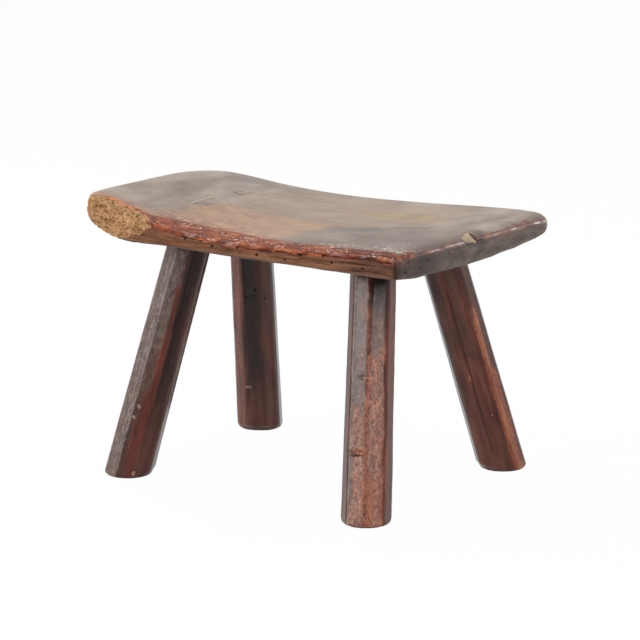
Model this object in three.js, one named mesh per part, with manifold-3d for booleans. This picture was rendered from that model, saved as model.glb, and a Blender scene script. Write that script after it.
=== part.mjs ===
import * as THREE from 'three';
import { mergeVertices } from 'three/addons/utils/BufferGeometryUtils.js';
import Module from 'manifold-3d';

// A low country milking stool: a thick plank seat hewn to a hollow, on four splayed legs.
// Each leg is an eight-sided pole whose round tenon goes right through the seat, where a
// wedge driven in from above spreads it. Sizes are in millimetres. +X runs along the seat to
// its low end, -Y is the near long side, +Z is up, and the origin is on the floor in the middle.

const wasm = await Module();
wasm.setup();

// Seat plank, in plan: it widens a little towards its far right corner
const seatLength = 310;
const seatWidth = 219;
const endSkew = 4;
const sideSkew = 3;
const nearLeftRadius = 18;
const nearRightRadius = 5;
const farRightRadius = 13;
const farLeftRadius = 28;

// Seat underside: its long edges stand at one height, and it bellies down between them
const undersideHeight = 194.5;
const bellyDrop = 5.5;
const bellyShift = -11.5;
const rightDrop = 1.5;

// Seat top: the rise of each side above the edge of the underside, at the lowest point of the
// hollow and at both ends of the plank
const nearTop = { low: 14.5, lowAt: 8, leftRise: 20.7, rightRise: 4.5 };
const farTop = { low: 13.2, lowAt: -42, leftRise: 6.5, rightRise: 6 };

// The top falls away towards the near side, except at the crumbled corner, and to the right end
const nearFall = 3;
const nearFallRun = 30;
const nearFallStart = 50;
const nearFallGrowth = 45;
const endFall = 2;
const endFallRun = 22;

// Seat arrises, worn round: how far in from the side and how far down each one runs
const topArris = { inset: 9, depth: 4.5 };
const nearArris = { inset: 4, depth: 2.6 };
const undersideArris = { inset: 2.5, depth: 2 };

// The right end is cut away underneath, from a start this far from the near side
const endUndercut = { inset: 12, depth: 5 };
const undercutStart = 18;
const undercutGrowth = 46;

// Two corners are worn to a blunt nose, which starts this far from the end and the long side
const noseArris = { inset: 11, depth: 8 };
const noses = [
  { end: -1, side: -1, run: 34, reach: 44 },
  { end: 1, side: 1, run: 34, reach: 34 },
];

// The near left corner has crumbled away to bare end grain, in a slope down the long side that
// starts this far from the left end, and its underside is lifted
const breakStart = 74;
const breakRun = 44;
const breakInset = 15;
const breakFlatness = 0.8;
const breakEdge = 2.5;
const cornerLift = 15;
const cornerLiftRun = 54;
const cornerLiftReach = 50;

// A chip is missing from the top arris of the right end: a slanting face, deepest at a short
// break across the end, from where it runs out towards the near side
const chipAt = -3;
const chipInset = 6;
const chipDepth = 3;
const chipTilt = 36;
const chipRunOut = 8;

// Legs: the flats and the rounded arrises of the pole, at the floor and at the seat
const footFlats = 37.6;
const footAcross = 39.6;
const headFlats = 34.2;
const headAcross = 35.6;
const footWear = 4;
const poleSides = 8;

// Round tenons, which narrow upwards from inside the pole to the lowest part of the seat's top,
// and the clearance between two pieces that touch
const tenonRoot = 31;
const tenonTip = 28;
const tenonStart = 12;
const gap = 0.3;

// Wedges, driven across the grain of the seat
const wedgeThick = 3.2;
const wedgeThin = 0.8;
const wedgeLength = 17;

// How far a pole, a tenon, a wedge or the chip's cutter runs past what it cuts or what trims it
const spareLength = 40;

// Where each leg meets the level of the seat's lower edges, measured in from the end and from
// the long side of the plank
const frontLeftFromEnd = 58.6;
const frontLeftFromSide = 76;
const frontRightFromEnd = 69.2;
const frontRightFromSide = 66;
const backRightFromEnd = 66;
const backRightFromSide = 69;
const backLeftFromEnd = 62;
const backLeftFromSide = 72;

// How far each leg leans out along the seat and across it, and how far its sides and its wedge
// are turned, in degrees
const legs = [
  {
    name: 'front_left', end: -1, side: -1, fromEnd: frontLeftFromEnd, fromSide: frontLeftFromSide,
    rake: 6.4, splay: 17.3, turn: 0, wedgeTurn: 4,
  },
  {
    name: 'front_right', end: 1, side: -1, fromEnd: frontRightFromEnd, fromSide: frontRightFromSide,
    rake: 9.2, splay: 15.8, turn: -15, wedgeTurn: -5,
  },
  {
    name: 'back_right', end: 1, side: 1, fromEnd: backRightFromEnd, fromSide: backRightFromSide,
    rake: 8.1, splay: 16.4, turn: -20, wedgeTurn: 3,
  },
  {
    name: 'back_left', end: -1, side: 1, fromEnd: backLeftFromEnd, fromSide: backLeftFromSide,
    rake: 8.5, splay: 15, turn: 5, wedgeTurn: -3,
  },
];

// How finely the surfaces are stepped
const cornerSteps = 5;
const lengthSteps = 17;
const widthSteps = 12;
const faceRings = 9;
const ringCrowding = 1.4;
const arrisSteps = 4;
const roundSides = 32;
const wearSteps = 4;
const speckVolume = 0.01;

const halfLength = seatLength / 2;
const halfWidth = seatWidth / 2;
const toRadians = Math.PI / 180;

function blend(from, to, share) {
  return from + (to - from) * share;
}

function ease(share) {
  const held = THREE.MathUtils.clamp(share, 0, 1);
  return held * held * (3 - 2 * held);
}

// A closed mesh as a solid that can be cut and joined
function solid(geometry) {
  const bare = geometry.clone();
  bare.deleteAttribute('normal');
  bare.deleteAttribute('uv');
  const merged = mergeVertices(bare, 1e-4);
  const mesh = new wasm.Mesh({
    numProp: 3,
    vertProperties: new Float32Array(merged.attributes.position.array),
    triVerts: new Uint32Array(merged.index.array),
  });
  return new wasm.Manifold(mesh);
}

// A solid without the specks that a cut through a faceted face can leave
function withoutSpecks(body) {
  const parts = body.decompose().filter((part) => part.volume() > speckVolume);
  return parts.reduce((whole, part) => whole.add(part));
}

// A solid as a mesh geometry, measured from the given point
function geometryOf(body, origin) {
  const mesh = withoutSpecks(body).getMesh();
  const geometry = new THREE.BufferGeometry();
  geometry.setAttribute('position', new THREE.BufferAttribute(mesh.vertProperties, 3));
  geometry.setIndex(new THREE.BufferAttribute(mesh.triVerts, 1));
  geometry.translate(-origin.x, -origin.y, -origin.z);
  geometry.computeVertexNormals();
  return geometry;
}

// A round or many-sided pole that stands along +Z between two heights
function pole(lowRadius, highRadius, low, high, sides) {
  const geometry = new THREE.CylinderGeometry(highRadius, lowRadius, high - low, sides);
  geometry.rotateX(Math.PI / 2);
  geometry.translate(0, 0, (low + high) / 2);
  return geometry;
}

// Height of one long side of the top: a hollow that climbs to both ends of the plank
function sideTop(side, x) {
  const low = undersideHeight + side.low;
  if (x < side.lowAt) {
    const left = (side.lowAt - x) / (side.lowAt + halfLength);
    return low + side.leftRise * left * left;
  }
  return low + side.rightRise * ease((x - side.lowAt) / (halfLength - side.lowAt));
}

function topHeight(x, y) {
  const share = Math.max(0, y) / halfWidth;
  const hollow = blend(sideTop(nearTop, x), sideTop(farTop, x), share * share);
  const near = Math.max(0, nearFallRun - halfWidth - y) / nearFallRun;
  const grown = ease((x + halfLength - nearFallStart) / nearFallGrowth);
  const end = Math.max(0, endFallRun - halfLength + x) / endFallRun;
  return hollow - nearFall * near * near * grown - endFall * end * end;
}

// The underside bellies down, sinks a little to the right and lifts towards the crumbled corner
function bottomHeight(x, y) {
  const across = (y - bellyShift) / (halfWidth + bellyShift);
  const along = Math.max(0, cornerLiftRun - halfLength - x) / cornerLiftRun;
  const near = ease((cornerLiftReach - halfWidth - y) / cornerLiftReach);
  const level = undersideHeight - rightDrop * (x / seatLength + 0.5);
  return level - bellyDrop * (1 - across * across) + cornerLift * along * along * near;
}

// How much of the crumbled corner's slope there is at a point of the plank's outline
function breakShare(rim) {
  const along = ease((breakStart - halfLength - rim.x) / breakRun);
  return rim.outY < 0 ? along * rim.outY * rim.outY : 0;
}

// How much of a blunt nose there is at a point of the plank's outline
function noseShare(rim) {
  return noses.reduce((most, nose) => {
    const along = ease((nose.run - halfLength + nose.end * rim.x) / nose.run);
    const across = ease((nose.reach - halfWidth + nose.side * rim.y) / nose.reach);
    return Math.max(most, along * across);
  }, 0);
}

// How much of the right end's undercut there is at a point of the plank's outline
function undercutShare(rim) {
  const across = ease((rim.y + halfWidth - undercutStart) / undercutGrowth);
  return rim.outX > 0 ? across * rim.outX * rim.outX : 0;
}

// Inset and depth of the arris at a point of the plank's outline, over or under the edge
function arrisAt(rim, side) {
  const nose = noseShare(rim);
  const near = rim.outY < 0 ? rim.outY * rim.outY : 0;
  const [plain, special, share] =
    side > 0 ? [topArris, nearArris, near] : [undersideArris, endUndercut, undercutShare(rim)];
  return {
    inset: blend(blend(plain.inset, special.inset, share), noseArris.inset, nose),
    depth: blend(blend(plain.depth, special.depth, share), noseArris.depth, nose),
  };
}

// Points of the plank's outline with the way out of the plank at each one
function seatOutline() {
  const corners = [
    { x: halfLength - endSkew, y: -halfWidth, radius: nearRightRadius, steps: widthSteps },
    { x: halfLength, y: halfWidth, radius: farRightRadius, steps: lengthSteps },
    { x: -halfLength, y: halfWidth - sideSkew, radius: farLeftRadius, steps: widthSteps },
    { x: -halfLength, y: -halfWidth, radius: nearLeftRadius, steps: lengthSteps },
  ];
  const arcs = corners.map((corner, index) => {
    const points = [];
    for (let step = 0; step <= cornerSteps; step += 1) {
      const angle = (Math.PI / 2) * (index - 1 + step / cornerSteps);
      const outX = Math.cos(angle);
      const outY = Math.sin(angle);
      points.push({
        x: corner.x + corner.radius * (outX - Math.sign(corner.x)),
        y: corner.y + corner.radius * (outY - Math.sign(corner.y)),
        outX,
        outY,
      });
    }
    return points;
  });
  const outline = [];
  arcs.forEach((arc, index) => {
    const next = arcs[(index + 1) % arcs.length][0];
    const last = arc[arc.length - 1];
    outline.push(...arc);
    for (let step = 1; step < corners[index].steps; step += 1) {
      const share = step / corners[index].steps;
      outline.push({
        x: blend(last.x, next.x, share),
        y: blend(last.y, next.y, share),
        outX: last.outX,
        outY: last.outY,
      });
    }
  });
  return outline;
}

// Stations of the skin, from the middle of the top over the edge to the middle of the underside
function seatStations() {
  const stations = [];
  for (let ring = 0; ring < faceRings; ring += 1) {
    stations.push({ reach: 1 - (1 - ring / faceRings) ** ringCrowding, turn: 0, side: 1 });
  }
  for (let step = 0; step <= arrisSteps; step += 1) {
    stations.push({ reach: 1, turn: step / arrisSteps, side: 1 });
  }
  const over = stations.map((station) => ({ ...station, side: -1 }));
  return stations.concat(over.reverse());
}

// One point of the seat's skin, with its faces moved out by the two given amounts
function seatPoint(rim, station, raised, lowered) {
  const share = station.side > 0 ? breakShare(rim) : 0;
  const arris = arrisAt(rim, station.side);
  const height = topHeight(rim.x, rim.y) - bottomHeight(rim.x, rim.y);
  const inset = blend(arris.inset, breakInset, share);
  const depth = blend(arris.depth, height - arrisAt(rim, -1).depth - breakEdge, share);
  const angle = (station.turn * Math.PI) / 2;
  const flatness = breakFlatness * share;
  const left = inset * blend(1 - Math.sin(angle), 1 - station.turn, flatness);
  const drop = depth * blend(1 - Math.cos(angle), station.turn, flatness);
  const x = (rim.x - rim.outX * left) * station.reach;
  const y = (rim.y - rim.outY * left) * station.reach;
  const z = station.side > 0 ? topHeight(x, y) - drop + raised : bottomHeight(x, y) + drop - lowered;
  return new THREE.Vector3(x, y, z);
}

// The plank before it is bored: a lathed disc whose spokes are drawn out to the outline
function plank(raised, lowered) {
  const outline = seatOutline();
  const stations = seatStations();
  const profile = stations.map(({ reach, turn, side }) => new THREE.Vector2(reach, side * (2 - turn)));
  const geometry = new THREE.LatheGeometry(profile, outline.length);
  const position = geometry.attributes.position;
  for (let vertex = 0; vertex < position.count; vertex += 1) {
    const spoke = Math.floor(vertex / stations.length) % outline.length;
    const rim = outline[outline.length - 1 - spoke];
    const point = seatPoint(rim, stations[vertex % stations.length], raised, lowered);
    position.setXYZ(vertex, point.x, point.y, point.z);
  }
  return solid(geometry);
}

// What the chip took out of the right end
function chipCutter() {
  const x = halfLength - chipInset;
  const geometry = new THREE.BoxGeometry(spareLength, spareLength, spareLength);
  geometry.translate(0, -spareLength / 2, spareLength / 2);
  geometry.rotateX(-chipRunOut * toRadians);
  geometry.rotateY(chipTilt * toRadians);
  geometry.translate(x, chipAt, topHeight(x, chipAt) - chipDepth);
  return solid(geometry);
}

// The leg's own frame in the stool: its foot on the floor and its length along +Z
function legFrame(leg) {
  const headX = leg.end * (halfLength - leg.fromEnd);
  const headY = leg.side * (halfWidth - leg.fromSide);
  const lean = new THREE.Vector3(
    leg.end * Math.tan(leg.rake * toRadians),
    leg.side * Math.tan(leg.splay * toRadians),
    -1,
  );
  const foot = new THREE.Vector3(headX, headY, undersideHeight).addScaledVector(lean, undersideHeight);
  const length = lean.length() * undersideHeight;
  const upright = new THREE.Vector3(0, 0, 1);
  const tilt = new THREE.Quaternion().setFromUnitVectors(upright, lean.clone().negate().normalize());
  const turn = new THREE.Quaternion().setFromAxisAngle(upright, leg.turn * toRadians);
  const matrix = new THREE.Matrix4().compose(foot, tilt.multiply(turn), new THREE.Vector3(1, 1, 1));
  return { foot, length, matrix };
}

// The eight-sided pole, planed from a round one so that its arrises stay soft
function legPole(frame) {
  const low = -spareLength;
  const high = frame.length + spareLength;
  const radiusAt = (foot, head, along) => blend(foot, head, along / frame.length) / 2;
  const toCorner = 1 / Math.cos(Math.PI / poleSides);
  const flatPole = pole(
    radiusAt(footFlats, headFlats, low) * toCorner,
    radiusAt(footFlats, headFlats, high) * toCorner,
    low,
    high,
    poleSides,
  );
  const roundPole = pole(
    radiusAt(footAcross, headAcross, low),
    radiusAt(footAcross, headAcross, high),
    low,
    high,
    roundSides,
  );
  return solid(flatPole.applyMatrix4(frame.matrix)).intersect(solid(roundPole.applyMatrix4(frame.matrix)));
}

// Everything above the floor that lies inside the foot's worn edge
function footRounding(frame) {
  const flat = footAcross / 2 - footWear;
  const profile = [new THREE.Vector2(0, 0)];
  for (let step = 0; step <= wearSteps; step += 1) {
    const angle = (Math.PI / 2) * (step / wearSteps);
    profile.push(new THREE.Vector2(flat + footWear * Math.sin(angle), footWear * (1 - Math.cos(angle))));
  }
  profile.push(new THREE.Vector2(frame.length, frame.length / 2));
  profile.push(new THREE.Vector2(frame.length, frame.length * 2));
  profile.push(new THREE.Vector2(0, frame.length * 2));
  const geometry = new THREE.LatheGeometry(profile, roundSides);
  geometry.rotateX(Math.PI / 2);
  geometry.translate(frame.foot.x, frame.foot.y, 0);
  return solid(geometry);
}

// The tapered tenon, or the socket that takes it when it is grown by the clearance
function tenon(frame, grown) {
  const slope = (tenonRoot - tenonTip) / 2 / (nearTop.low + tenonStart);
  const geometry = pole(
    tenonRoot / 2 + grown,
    tenonRoot / 2 - slope * (tenonStart + spareLength) + grown,
    frame.length - tenonStart,
    frame.length + spareLength,
    roundSides,
  );
  return solid(geometry.applyMatrix4(frame.matrix));
}

// The wedge's taper, or the kerf that it is driven into when it is grown by the clearance
function wedgeTaper(leg, frame, grown) {
  const head = new THREE.Vector3(0, 0, frame.length).applyMatrix4(frame.matrix);
  const rise = topHeight(head.x, head.y) - undersideHeight;
  const thinHalf = wedgeThin / 2 + grown;
  const spareHalf = thinHalf + ((wedgeThick - wedgeThin) / 2) * (1 + spareLength / wedgeLength);
  const taper = new THREE.Shape();
  taper.moveTo(-thinHalf, -wedgeLength - grown);
  taper.lineTo(thinHalf, -wedgeLength - grown);
  taper.lineTo(spareHalf, spareLength);
  taper.lineTo(-spareHalf, spareLength);
  taper.closePath();
  const geometry = new THREE.ExtrudeGeometry(taper, { depth: tenonRoot + spareLength, bevelEnabled: false });
  geometry.translate(0, 0, -(tenonRoot + spareLength) / 2);
  geometry.rotateX(Math.PI / 2);
  geometry.rotateZ((leg.wedgeTurn - leg.turn) * toRadians);
  geometry.translate(0, 0, frame.length + rise);
  return solid(geometry.applyMatrix4(frame.matrix));
}

function seatMaterial() {
  return new THREE.MeshStandardMaterial({ color: '#7a5a45', roughness: 0.5, metalness: 0 });
}

function legMaterial() {
  return new THREE.MeshStandardMaterial({ color: '#3c2522', roughness: 0.38, metalness: 0 });
}

function wedgeMaterial() {
  return new THREE.MeshStandardMaterial({ color: '#6a4c3b', roughness: 0.55, metalness: 0 });
}

// A named piece at its own place in the stool
function piece(name, body, origin, material) {
  const mesh = new THREE.Mesh(geometryOf(body, origin), material);
  mesh.name = name;
  mesh.position.copy(origin);
  return mesh;
}

function buildStool() {
  const stool = new THREE.Group();
  const blank = plank(0, 0);
  const scribed = plank(undersideHeight, gap);
  const below = solid(new THREE.BoxGeometry(seatLength * 2, seatWidth * 2, undersideHeight * 2));
  const reach = below.add(blank);
  let seat = blank.subtract(chipCutter());
  legs.forEach((leg) => {
    const frame = legFrame(leg);
    const plug = tenon(frame, 0).intersect(reach);
    const kerf = wedgeTaper(leg, frame, gap);
    const shaft = legPole(frame).intersect(footRounding(frame)).subtract(scribed);
    const body = shaft.add(plug).subtract(kerf);
    const wedge = wedgeTaper(leg, frame, 0).intersect(plug);
    stool.add(piece(`leg_${leg.name}`, body, frame.foot, legMaterial()));
    stool.add(piece(`wedge_${leg.name}`, wedge, frame.foot, wedgeMaterial()));
    seat = seat.subtract(tenon(frame, gap));
  });
  stool.add(piece('seat', seat, new THREE.Vector3(0, 0, undersideHeight), seatMaterial()));
  return stool;
}

export default buildStool();
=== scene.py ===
import math

import bmesh
import bpy
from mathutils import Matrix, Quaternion, Vector, noise


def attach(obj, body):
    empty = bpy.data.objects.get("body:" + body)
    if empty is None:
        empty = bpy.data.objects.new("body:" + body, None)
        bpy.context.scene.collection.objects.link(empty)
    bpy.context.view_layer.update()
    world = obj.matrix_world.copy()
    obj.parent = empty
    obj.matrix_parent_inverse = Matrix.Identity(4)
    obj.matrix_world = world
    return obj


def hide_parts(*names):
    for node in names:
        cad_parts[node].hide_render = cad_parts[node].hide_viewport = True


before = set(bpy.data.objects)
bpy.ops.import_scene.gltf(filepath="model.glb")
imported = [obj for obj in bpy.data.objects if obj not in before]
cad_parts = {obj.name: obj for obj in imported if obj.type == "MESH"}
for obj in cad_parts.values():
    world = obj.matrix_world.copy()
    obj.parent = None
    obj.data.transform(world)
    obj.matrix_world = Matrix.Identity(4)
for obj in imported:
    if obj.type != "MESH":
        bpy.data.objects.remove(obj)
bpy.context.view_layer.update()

# An old country milking stool. The imported plank, legs and wedges are copied, remeshed finely
# and then worn: hewn hollows, a crumbled corner, worm holes, a chip and softened arrises.
# What the wear bares is painted on the meshes as marks, and the materials read them.

mm = 0.001
scene = bpy.context.scene


# Camera
cameraView = {
    "azimuth": 35.37, "elevation": 12.53, "distance": 2.401,
    "lens": 168.75, "sensor": 36.0, "target": (0.0029, 0.0020, 0.1250),
}


def awayFromCamera(way, height):
    # a direction from the stool, in degrees right of the camera's and above the floor
    turn = math.radians(cameraView["azimuth"] - 90 + way)
    rise = math.radians(height)
    return Vector((math.cos(turn) * math.cos(rise), math.sin(turn) * math.cos(rise), math.sin(rise)))


def makeCamera():
    back = awayFromCamera(0, cameraView["elevation"])
    data = bpy.data.cameras.new("camera")
    data.lens = cameraView["lens"]
    data.sensor_width = cameraView["sensor"]
    data.clip_end = 50
    camera = bpy.data.objects.new("camera", data)
    scene.collection.objects.link(camera)
    camera.location = Vector(cameraView["target"]) + back * cameraView["distance"]
    camera.rotation_euler = back.to_track_quat("Z", "Y").to_euler()
    scene.camera = camera


# Material helpers
def hexColour(code):
    channels = [int(code[i:i + 2], 16) / 255 for i in (1, 3, 5)]
    return tuple(c / 12.92 if c <= 0.04045 else ((c + 0.055) / 1.055) ** 2.4 for c in channels) + (1.0,)


def addNode(tree, kind, inputs=None, stops=None, **settings):
    node = tree.nodes.new("ShaderNode" + kind)
    for name, value in settings.items():
        setattr(node, name, value)
    for name, value in (inputs or {}).items():
        if isinstance(value, bpy.types.NodeSocket):
            tree.links.new(value, node.inputs[name])
        else:
            node.inputs[name].default_value = value
    if stops:
        elements = node.color_ramp.elements
        while len(elements) < len(stops):
            elements.new(0.5)
        for element, (place, colour) in zip(elements, stops):
            element.position = place
            element.color = hexColour(colour)
    return node


def newMaterial(name):
    material = bpy.data.materials.new(name)
    material.use_nodes = True
    tree = material.node_tree
    return material, tree, tree.nodes["Principled BSDF"]


def makePatterns(tree, place, plans):
    # each plan: the size of the pattern in mm along x, y and z, its detail and its roughness
    patterns = {}
    for name, (size, detail, rough) in plans.items():
        spread = addNode(tree, "Mapping", {"Vector": place, "Scale": tuple(1 / s for s in size)}).outputs[0]
        grain = {"Vector": spread, "Scale": 1.0, "Detail": detail, "Roughness": rough}
        patterns[name] = addNode(tree, "TexNoise", grain).outputs[0]
    return patterns


def layCoats(tree, coats, marks, patterns, colour, rough):
    # each coat: its mark, the pattern that frays its edge and how far, where it starts and is
    # full, how much it covers, the pattern and stops of its tone, and its roughness
    for mark, fray, frayed, start, full, most, pattern, stops, dull in coats:
        lift = addNode(tree, "Math", {0: patterns[fray], 1: frayed, 2: 1 - frayed / 2},
                       operation="MULTIPLY_ADD")
        edge = addNode(tree, "Math", {0: lift.outputs[0], 1: marks[mark]}, operation="MULTIPLY").outputs[0]
        share = addNode(tree, "MapRange", {0: edge, 1: start, 2: full, 3: 0.0, 4: most}).outputs[0]
        tone = addNode(tree, "ValToRGB", {0: patterns[pattern]}, stops=stops).outputs[0]
        colour = addNode(tree, "Mix", {0: share, 6: colour, 7: tone}, data_type="RGBA").outputs[2]
        rough = addNode(tree, "Mix", {0: share, 2: rough, 3: dull}).outputs[0]
    return colour, rough


# Mesh helpers, with points in millimetres
def ease(value, low, high):
    share = min(1.0, max(0.0, (value - low) / (high - low)))
    return share * share * (3 - 2 * share)


def grit(point, size, seed=0.0):
    return noise.noise(Vector((point.x / size[0] + seed, point.y / size[1] - seed, point.z / size[2])))


def within(value, span):
    # from 0 up to 1 and down to 0 again
    start, full, fade, end = span
    return ease(value, start, full) * (1 - ease(value, fade, end))


def along(stops, place):
    if place <= stops[0][0]:
        return stops[0][1]
    for (a, va), (b, vb) in zip(stops, stops[1:]):
        if place <= b:
            return va + (vb - va) * (place - a) / (b - a)
    return stops[-1][1]


def inBox(point, box):
    return all(low < place < high for place, (low, high) in zip(point, box))


def fromLine(spot, line):
    # distance of a flat point from a bent line
    best = 1000.0
    for a, b in zip(line, line[1:]):
        start, run = Vector(a), Vector(b) - Vector(a)
        share = min(1.0, max(0.0, (spot - start).dot(run) / run.length_squared))
        best = min(best, (spot - start - run * share).length)
    return best


def fineCopy(node, name, voxel, rounds):
    form = bmesh.new()
    form.from_mesh(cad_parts[node].data)
    bmesh.ops.remove_doubles(form, verts=form.verts, dist=0.00001)
    mesh = bpy.data.meshes.new(name + "Rough")
    form.to_mesh(mesh)
    form.free()
    rough = bpy.data.objects.new(name + "Rough", mesh)
    scene.collection.objects.link(rough)
    remesh = rough.modifiers.new("remesh", "REMESH")
    remesh.mode = "VOXEL"
    remesh.voxel_size = voxel * mm
    bpy.context.view_layer.update()
    fine = bpy.data.meshes.new_from_object(rough.evaluated_get(bpy.context.evaluated_depsgraph_get()))
    bpy.data.objects.remove(rough)
    form = bmesh.new()
    form.from_mesh(fine)
    bpy.data.meshes.remove(fine)
    for _ in range(rounds):
        bmesh.ops.smooth_vert(form, verts=form.verts, factor=0.5,
                              use_axis_x=True, use_axis_y=True, use_axis_z=True)
    form.normal_update()
    return form


def refine(form, wanted, cuts):
    edges = [e for e in form.edges if all(wanted(v.co / mm) for v in e.verts)]
    bmesh.ops.subdivide_edges(form, edges=edges, cuts=cuts, use_grid_fill=True)
    form.normal_update()


def finishPiece(form, name, marks, own, material, node):
    bmesh.ops.recalc_face_normals(form, faces=form.faces)
    mesh = bpy.data.meshes.new(name)
    for face in form.faces:
        face.smooth = True
    form.to_mesh(mesh)
    form.free()
    for mark, values in marks.items():
        mesh.attributes.new(mark, "FLOAT", "POINT").data.foreach_set("value", values)
    if own:
        mesh.attributes.new("own", "FLOAT_VECTOR", "POINT").data.foreach_set("vector", own)
    mesh.materials.append(material)
    piece = bpy.data.objects.new(name, mesh)
    scene.collection.objects.link(piece)
    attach(piece, "root")
    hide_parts(node)
    print(name, "has", len(mesh.polygons), "faces")


# Seat
seatSizes = {
    "voxel": 1.5, "smoothing": 3,
    "halfLength": 155.0, "halfWidth": 109.5, "endSkew": 0.0137,
    # how deep each kind of wear goes
    "hewnTop": 0.35, "hewnUnder": 0.9, "edgeWobble": 0.5, "faceFurrow": 0.7, "arrisNibble": 0.45,
    "cleftDepth": 1.1, "chipRelief": 0.6, "crumbleDepth": 1.9,
    # and how wide it is along x, y and z
    "hewnWide": (60, 24, 40), "ridgeWide": (70, 5.0, 9), "adzeMark": (44, 26), "wobbleWide": (26, 26, 16),
    "furrowWide": (26, 9, 2.6), "nibbleWide": (5, 4, 3), "chipWide": (3, 3, 2.4),
    "crumbleGrain": (4.2, 3.4, 3.0), "crumbleFine": (1.9, 1.7, 1.6),
    # boxes round the crumbled corner, the near arris, the chip and the tear beside it
    "crumbleBox": ((-160, -70), (-112, -88), (150, 230)), "arrisBox": ((-90, 160), (-112, -103), (200, 230)),
    "chipBox": ((142, 160), (-28, 8), (203, 230)), "tornBox": ((145, 160), (-18.5, 6), (203, 230)),
    # height of the near arris at x
    "nearRim": [(-104, 216), (-87, 213), (-70, 209.6), (-54, 207.4), (-37, 206), (-4, 204.6), (30, 204.7),
                (63, 205.9), (96, 207.4), (129, 208.6), (146, 208.2)],
    # top edge of the crumbled end grain: distance from the near side at x
    "crumbleTop": [(-155, 15), (-148, 13), (-121, 15), (-104, 11.5), (-88, 5.5), (-80, 0), (-76, -6)],
    # bottom edge of it: height at x
    "crumbleLow": [(-155, 205), (-135, 197), (-122, 194), (-109, 196), (-100, 199.5), (-89, 203),
                   (-80, 208.5)],
    # inner edge of the red varnish on the top: distance from the near side at x
    "varnishTo": [(-120, 14), (-91, 15), (-80, 22), (-69, 26), (-40, 34), (-1, 27), (42, 19), (78, 18),
                  (143, 18)],
    # the dark smear's edge on the top: y at x
    "smearEdge": [(26, -52), (36, -27), (60, -20), (86, -8), (104, 4), (138, 11), (155, 16)],
    # stains on the top: their middles and their reaches along x and y
    "ochreSpot": (62, 44), "ochreReach": (46, 20), "rustSpot": (-108, 32.6),
    "rustStreak": (-72, -47), "rustReach": (13, 4),
    # where each starts, is full, fades and ends: the rubbed part, the rust, the flecks and the gloss
    "rubbedAcross": (14, 34, 74, 112), "rubbedAlong": (-112, -66, 22, 74),
    "rustAlong": (-150, -128, -86, -76), "flecksAlong": (-92, -74, 10, 50),
    "glossSlope": (0.05, 0.25, 0.6, 0.85),
    # worm holes: x and height on the long sides, y and height on the right end, whose x is endFace
    "holeRadius": 0.9, "holeDepth": 3.0, "holeReach": 3.2, "endFace": 152.0,
    "nearHoles": [(49.1, 197.7), (83.9, 204.8), (92.1, 200.4), (120.3, 199.1), (-20.0, 200.5),
                  (22.0, 198.4), (-47.0, 203.0), (4.0, 201.9), (63.0, 202.6)],
    "endHoles": [(-93.5, 204.9), (-78.3, 198.6), (-70.2, 201.8), (-66.8, 202.3), (-97.0, 197.4),
                 (-40, 203.0)],
    "farHoles": [(-60, 203), (-8, 200), (64, 202)],
    # dark clefts in the near face: half width, then points of x and height
    "clefts": [
        (0.6, [(0, 203.4), (9, 203.0), (16, 201.9), (24, 202.6), (36, 202.4)]),
        (0.4, [(40, 203.0), (56, 203.6), (70, 204.2)]),
        (0.7, [(84, 205.0), (104, 205.6), (123, 206.2), (149, 205.9)]),
        (0.35, [(-62, 205.6), (-48, 204.4), (-30, 203.2)]),
        (0.3, [(-92, 205.0), (-84, 204.2), (-74, 203.8)]),
        (0.4, [(96, 201.6), (112, 202.2), (124, 201.5)]),
        (0.5, [(112, 196.4), (128, 197.6), (149, 196.2)]),
        (0.3, [(58, 199.6), (72, 200.3), (84, 199.8)]),
        (0.3, [(-22, 199.8), (-6, 199.0), (14, 199.2)]),
    ],
    # the chip's face: its plane, its reach along y and the x where it starts
    "chipWay": (0.5820, 0.1390, 0.8010), "chipOffset": 254.09,
    "chipFrom": -17.5, "chipTo": -2.0, "chipX": 143.5,
    # the torn fibres under it: y and height
    "tornLine": [(-16, 206.6), (-9, 206.0), (-3, 207.6), (1, 207.0), (6, 207.6)],
    # grain lines open on the top: half width, depth, then points of x and y
    "cracks": [
        (0.9, 0.15, [(-66, -12), (-40, -14), (-15, -15), (14, -22), (45, -31)]),
        (1.3, 0.2, [(-101, 20), (-96, 30), (-88, 45)]),
        (1.2, 0.2, [(-78, 38), (-72, 52)]),
        (0.9, 0.1, [(30, 40), (60, 52), (96, 58)]),
        (0.9, 0.1, [(-20, 30), (10, 26), (52, 30)]),
    ],
}


def wornDip(point):
    # how far the hewn and worn top lies under the plank's own, with its soft grain ridges
    ridge = 0.04 + 0.1 * ease(point.x, -100, -50)
    hollow = seatSizes["hewnTop"] * (0.5 + 0.5 * grit(point, seatSizes["hewnWide"]))
    return hollow + ridge * abs(grit(point, seatSizes["ridgeWide"], 5.5))


# what crumbleShare would give far from the broken corner
unbroken = -9.0


def crumbleShare(point):
    # above 0 where the corner has crumbled, and below 0 by the distance from there in mm
    near = point.y + seatSizes["halfWidth"]
    ragged = 1.8 * grit(point, (6, 6, 6), 3.1) + 0.8 * grit(point, (2.4, 2.4, 2.4), 7.7)
    inside = along(seatSizes["crumbleTop"], point.x) - near + ragged
    above = point.z - along(seatSizes["crumbleLow"], point.x) + ragged
    return min(inside, above)


def cleftShare(point):
    if point.y > 5 - seatSizes["halfWidth"]:
        return 0.0
    spot = Vector((point.x, point.z))
    best = 0.0
    for half, line in seatSizes["clefts"]:
        gap = fromLine(spot, line) + 0.9 * grit(point, (6, 3, 2), 8.0)
        best = max(best, 1 - ease(gap, half * 0.5, half * 1.6))
    return best


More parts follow.
